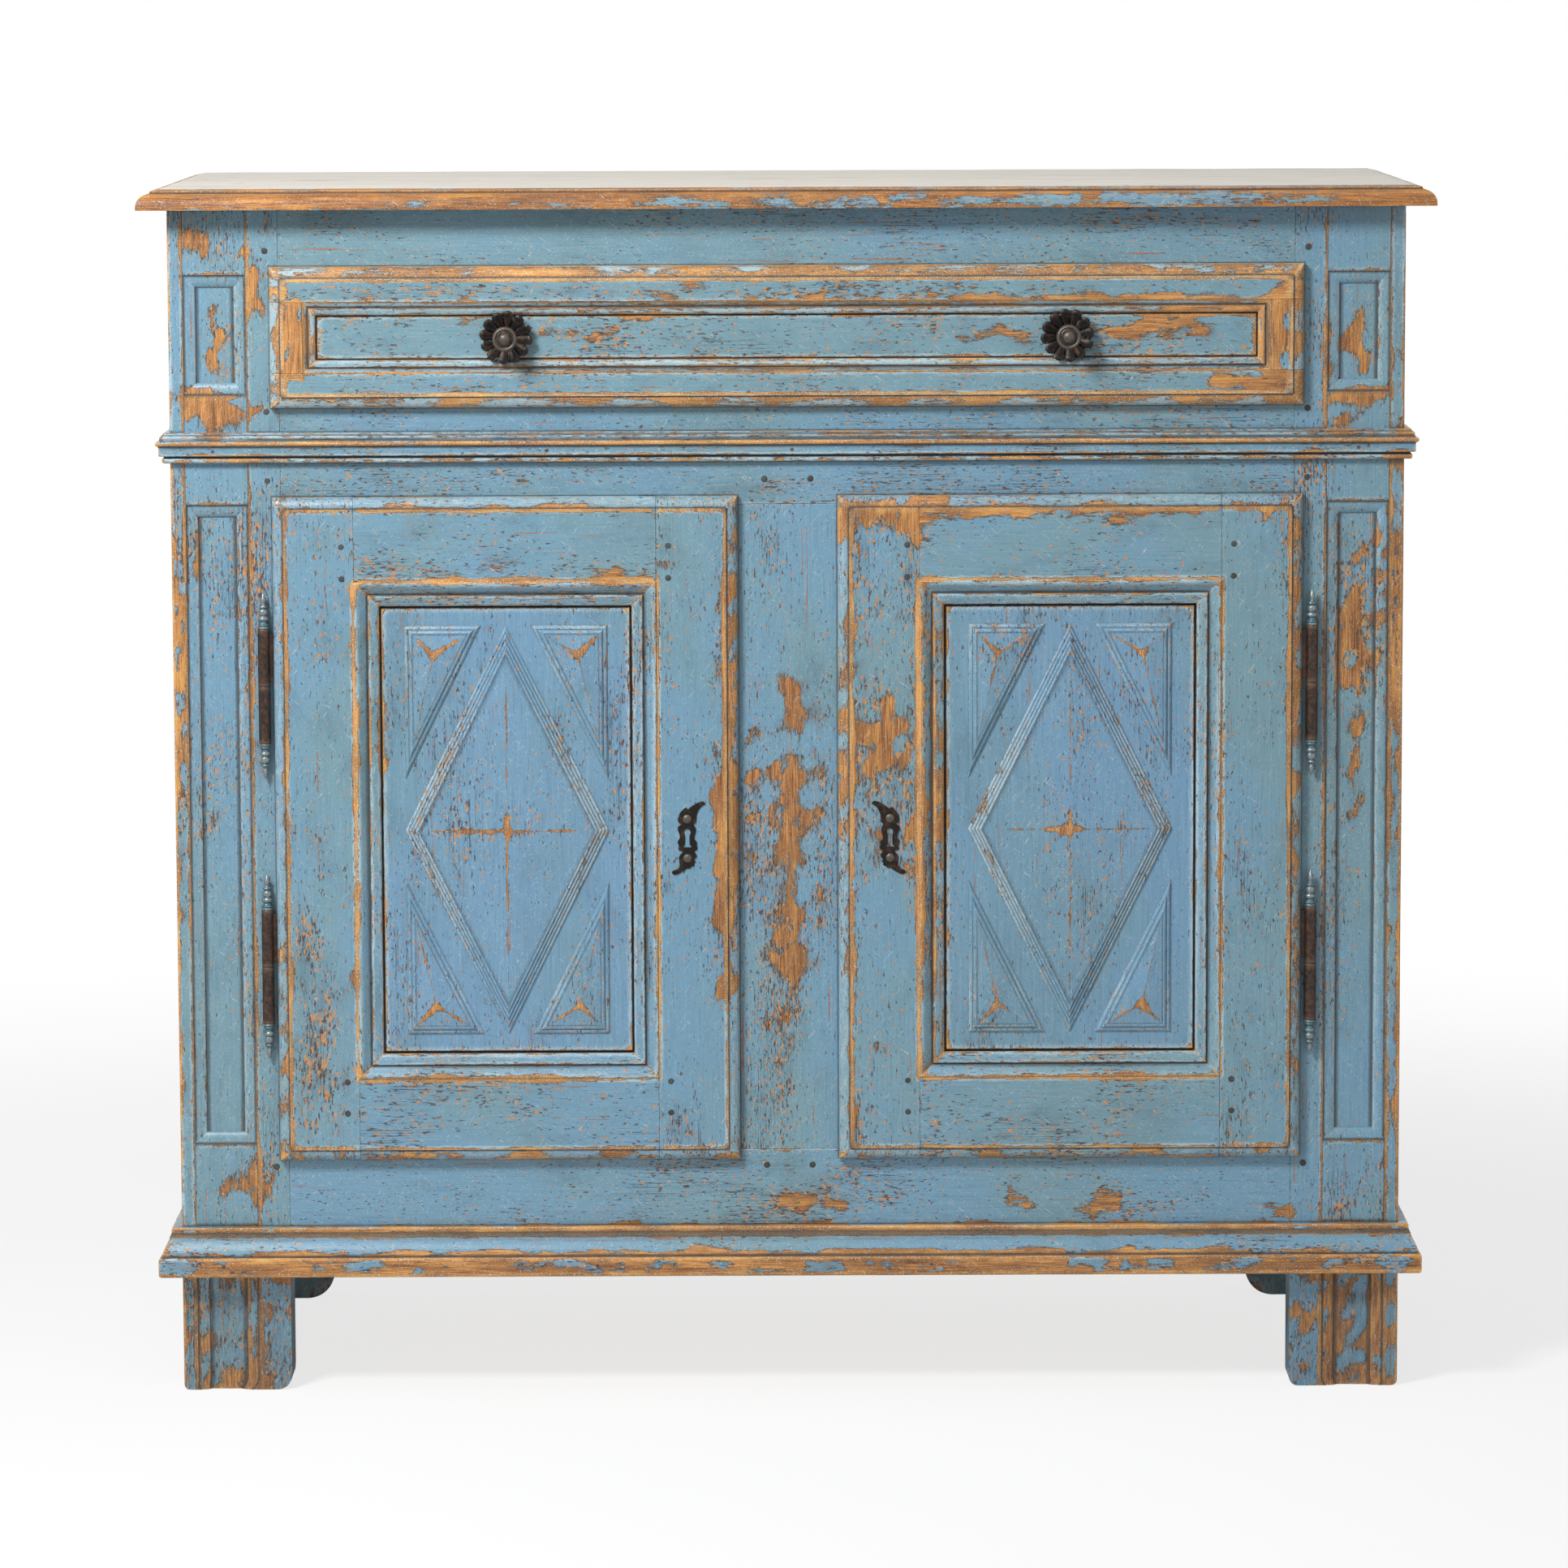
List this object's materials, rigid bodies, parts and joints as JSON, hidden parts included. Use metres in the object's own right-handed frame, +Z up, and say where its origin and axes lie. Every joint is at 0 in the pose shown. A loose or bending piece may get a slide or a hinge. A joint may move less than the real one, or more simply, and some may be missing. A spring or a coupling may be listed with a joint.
{
  "type": "diamond point cupboard",
  "caption": "Low painted pine cupboard with a long drawer over two hinged doors, each carved with a lozenge and corner triangles, on post feet.",
  "frame": {"origin": "on the floor under the middle of the whole cupboard, knobs included", "axes": "+X along the width to the right of someone facing the doors, +Y from the front to the back, +Z up"},
  "size_m": [1.344, 0.5764, 1.269],
  "materials": {
    "painted_pine": "cracked blue milk paint over pine, worn",
    "painted_panel": "lighter blue milk paint over pine, worn on the carving",
    "worn_top": "pale worn paint on the upper face, blue and bare wood on the edge",
    "bare_pine": "aged bare pine",
    "peg_wood": "dark end grain",
    "hinge_iron": "browned iron with grey-green tips",
    "black_iron": "dull black",
    "bolt_steel": "filed steel"
  },
  "bodies": {
    "carcase": {"front_post_left": "painted_pine", "front_post_right": "painted_pine", "back_post_left": "painted_pine", "back_post_right": "painted_pine", "centre_post": "painted_pine", "front_top_rail": "painted_pine", "front_waist_rail": "painted_pine", "front_bottom_rail": "painted_pine", "post_fillers": "painted_pine", "side_rails_left": "painted_pine", "side_rails_right": "painted_pine", "side_panels_left": "painted_panel", "side_panels_right": "painted_panel", "back_rails": "bare_pine", "back_boards": "bare_pine", "top_front_board": "worn_top", "top_back_board": "worn_top", "floor_boards": "bare_pine", "shelf": "bare_pine", "shelf_bearers": "bare_pine", "drawer_runners": "bare_pine", "drawer_guides": "bare_pine", "drawer_kickers": "bare_pine", "waist_moulding": "painted_pine", "base_moulding": "painted_pine", "carcase_pegs": "peg_wood", "nails": "black_iron", "hinge_pins": "hinge_iron"},
    "left_door": {"left_door_hinge_stile": "painted_pine", "left_door_lock_stile": "painted_pine", "left_door_rails": "painted_pine", "left_door_panel": "painted_panel", "left_door_mouldings": "painted_pine", "left_door_pegs": "peg_wood", "left_door_hinges": "hinge_iron", "left_key_plate": "black_iron", "left_plate_nails": "black_iron"},
    "right_door": {"right_door_hinge_stile": "painted_pine", "right_door_lock_stile": "painted_pine", "right_door_rails": "painted_pine", "right_door_panel": "painted_panel", "right_door_mouldings": "painted_pine", "right_door_pegs": "peg_wood", "right_door_hinges": "hinge_iron", "right_key_plate": "black_iron", "right_plate_nails": "black_iron", "lock_case": "black_iron"},
    "drawer": {"drawer_front_rails": "painted_pine", "drawer_front_stiles": "painted_pine", "drawer_panel": "painted_panel", "drawer_mouldings": "painted_pine", "drawer_sides": "bare_pine", "drawer_back": "bare_pine", "drawer_bottom": "bare_pine", "drawer_knobs": "black_iron", "drawer_rosettes": "black_iron", "drawer_nuts": "black_iron"},
    "lock_bolt": {"lock_bolt": "bolt_steel"}
  },
  "joints": [
    {"name": "left_door_hinge", "type": "hinge", "parent": "carcase", "child": "left_door", "pos_m": [-0.547, -0.23885, 0.599], "axis": [0, 0, -1], "range_deg": [0, 165]},
    {"name": "right_door_hinge", "type": "hinge", "parent": "carcase", "child": "right_door", "pos_m": [0.547, -0.23885, 0.599], "axis": [0, 0, 1], "range_deg": [0, 165]},
    {"name": "drawer_slide", "type": "slide", "parent": "carcase", "child": "drawer", "axis": [0, -1, 0], "range_m": [0, 0.36]},
    {"name": "lock_bolt_slide", "type": "slide", "parent": "right_door", "child": "lock_bolt", "axis": [-1, 0, 0], "range_m": [0, 0.012]}
  ]
}
